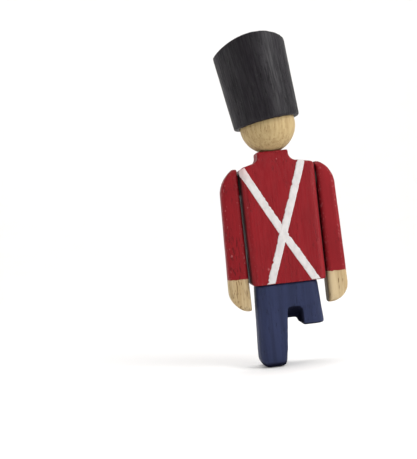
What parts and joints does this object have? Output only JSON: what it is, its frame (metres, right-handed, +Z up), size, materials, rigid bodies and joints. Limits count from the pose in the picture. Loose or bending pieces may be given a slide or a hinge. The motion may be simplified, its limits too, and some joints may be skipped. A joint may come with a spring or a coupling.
{
  "type": "toy soldier figure",
  "caption": "Small painted wooden guard figure with a tall leaning hat, a ball head that turns, swinging arms, crossed belts, one full leg and one short leg.",
  "frame": {"origin": "on the plane of the sole, under the middle of the figure", "axes": "+Z up along the body, -Y the way the figure faces, +X to the viewer's right (the figure's own left)"},
  "size_m": [0.0536, 0.033, 0.1462],
  "materials": {
    "red_paint": "satin red paint over wood",
    "navy_paint": "satin navy paint over wood",
    "black_paint": "satin black paint over wood",
    "bare_oak": "bare oiled oak",
    "beech": "bare beech dowel",
    "washer_leather": "thin dark leather"
  },
  "bodies": {
    "body": {"tunic": "red_paint", "trousers": "navy_paint", "waist_dowels": "beech"},
    "right_arm": {"right_arm": "red_paint", "right_shoulder_pin": "beech", "right_shoulder_washer": "washer_leather"},
    "left_arm": {"left_arm": "red_paint", "left_shoulder_pin": "beech", "left_shoulder_washer": "washer_leather"},
    "head": {"head": "bare_oak", "neck_dowel": "beech", "hat": "black_paint", "hat_dowel": "beech"}
  },
  "joints": [
    {"name": "right_shoulder", "type": "hinge", "parent": "body", "child": "right_arm", "pos_m": [-0.01715, 0, 0.0819], "axis": [-1, 0, 0], "range_deg": [-150, 150]},
    {"name": "left_shoulder", "type": "hinge", "parent": "body", "child": "left_arm", "pos_m": [0.01715, 0, 0.0819], "axis": [-1, 0, 0], "range_deg": [-150, 150]},
    {"name": "neck_turn", "type": "hinge", "parent": "body", "child": "head", "pos_m": [-0.0012, 0, 0.1076], "axis": [0, 0, 1], "continuous": true}
  ]
}
